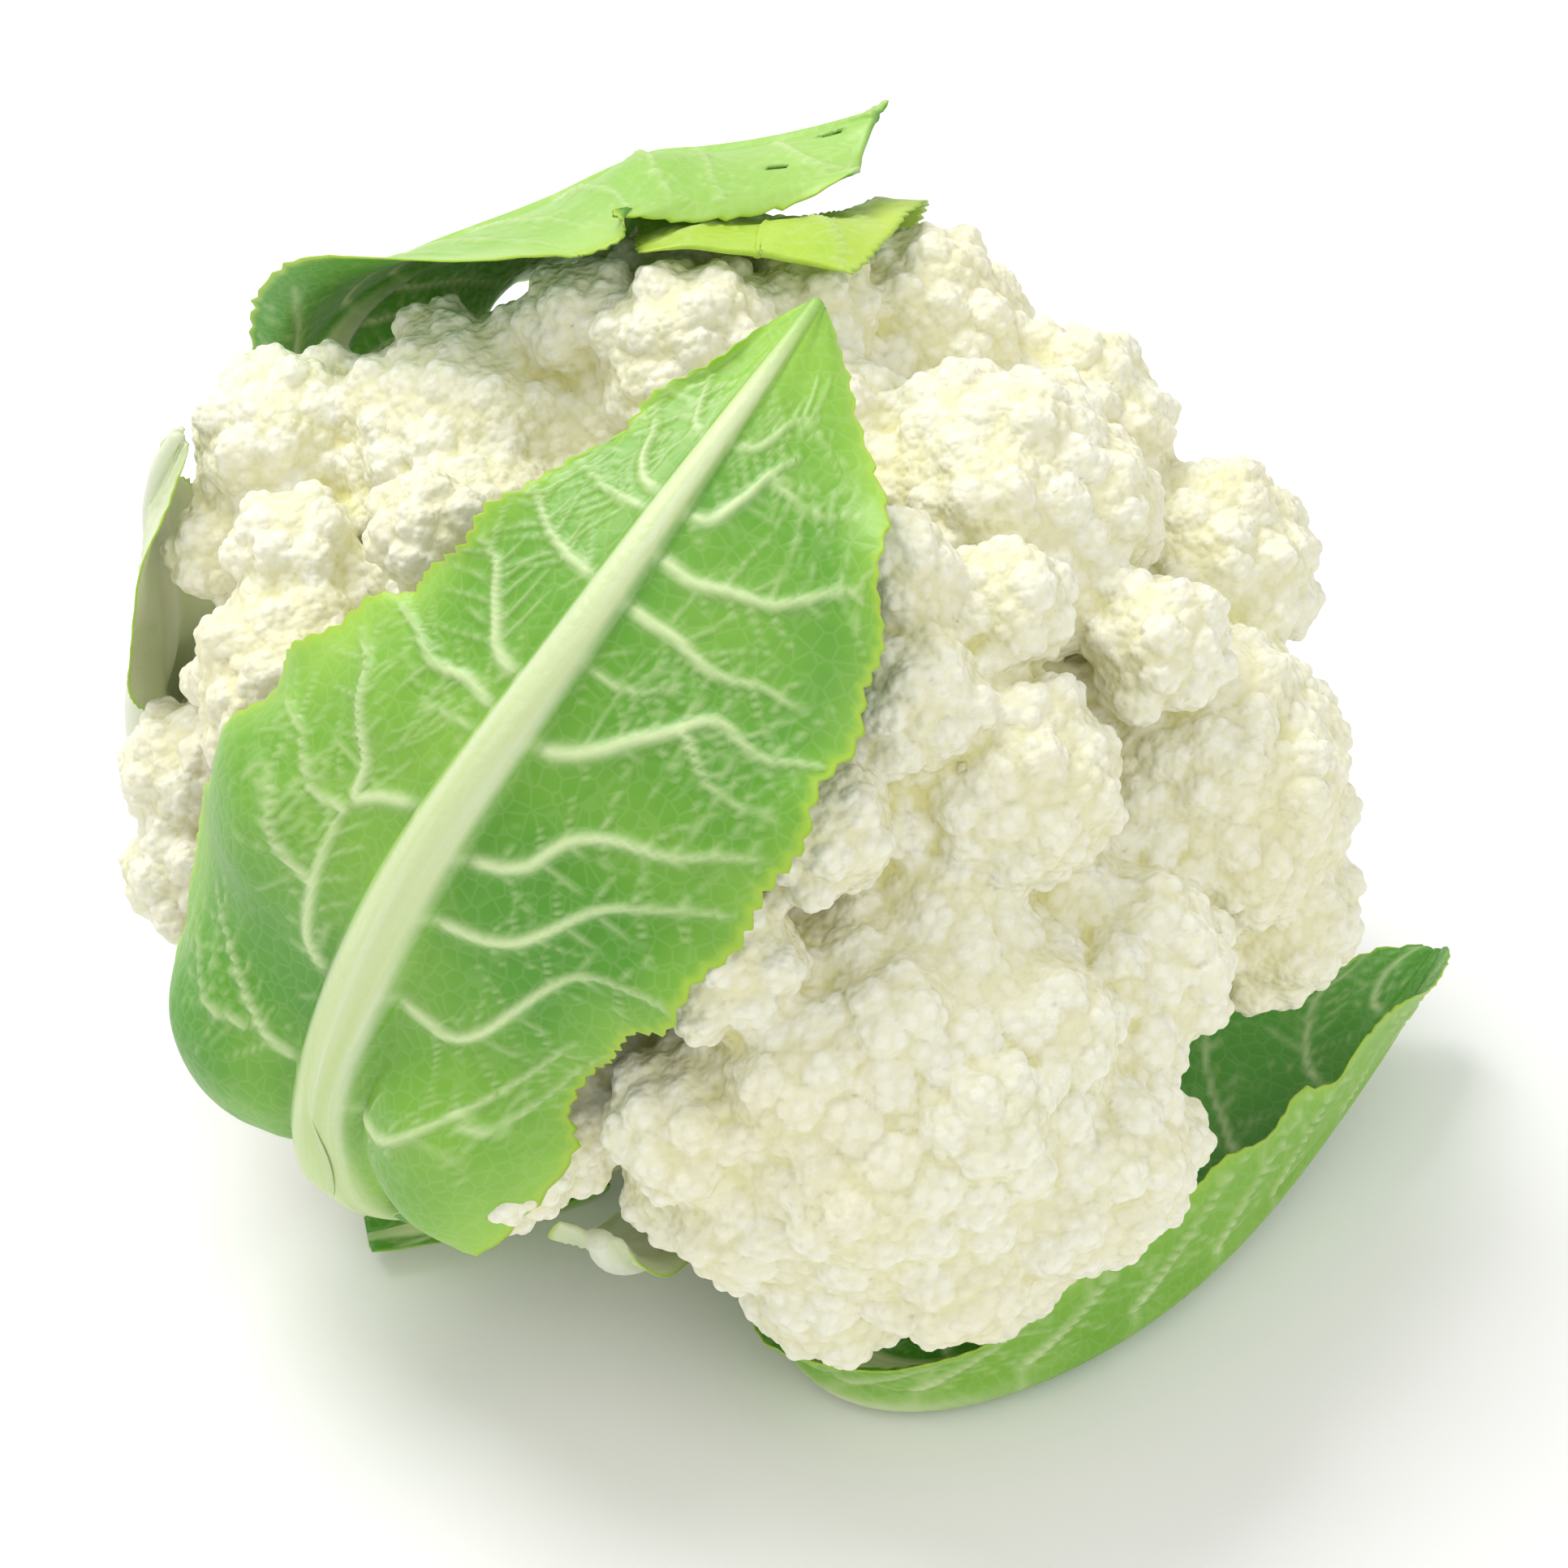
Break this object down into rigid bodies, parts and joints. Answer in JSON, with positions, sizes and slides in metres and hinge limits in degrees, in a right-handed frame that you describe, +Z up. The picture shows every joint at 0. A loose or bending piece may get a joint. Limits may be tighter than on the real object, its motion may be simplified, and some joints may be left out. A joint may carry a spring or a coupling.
{
  "type": "cauliflower",
  "caption": "Trimmed cauliflower head: lobed cream-white curd on a cut stump, with green leaves left round it, resting on the cut face.",
  "frame": {"origin": "centre of the stump's flat cut face, on the surface that the head rests on", "axes": "+Z up along the stump, -Y towards the side with the large front leaf and the lowest front floret, +X to the right seen from that side"},
  "size_m": [0.199, 0.1827, 0.1465],
  "materials": {
    "curd": "matt, beaded, slightly translucent cream white",
    "stalk": "smooth pale green, satin",
    "leaf_green": "satin green blade with pale ribs and veins",
    "leaf_pale": "satin pale green to white"
  },
  "bodies": {
    "root": {"curd": "curd", "stalk": "stalk", "leaf_front": "leaf_green", "leaf_back": "leaf_green", "leaf_back_inner": "leaf_green", "leaf_right": "leaf_green", "leaf_under": "leaf_green", "leaf_left": "leaf_pale", "leaf_base": "leaf_pale", "stub_right": "stalk", "stub_back_right": "stalk"}
  },
  "joints": []
}
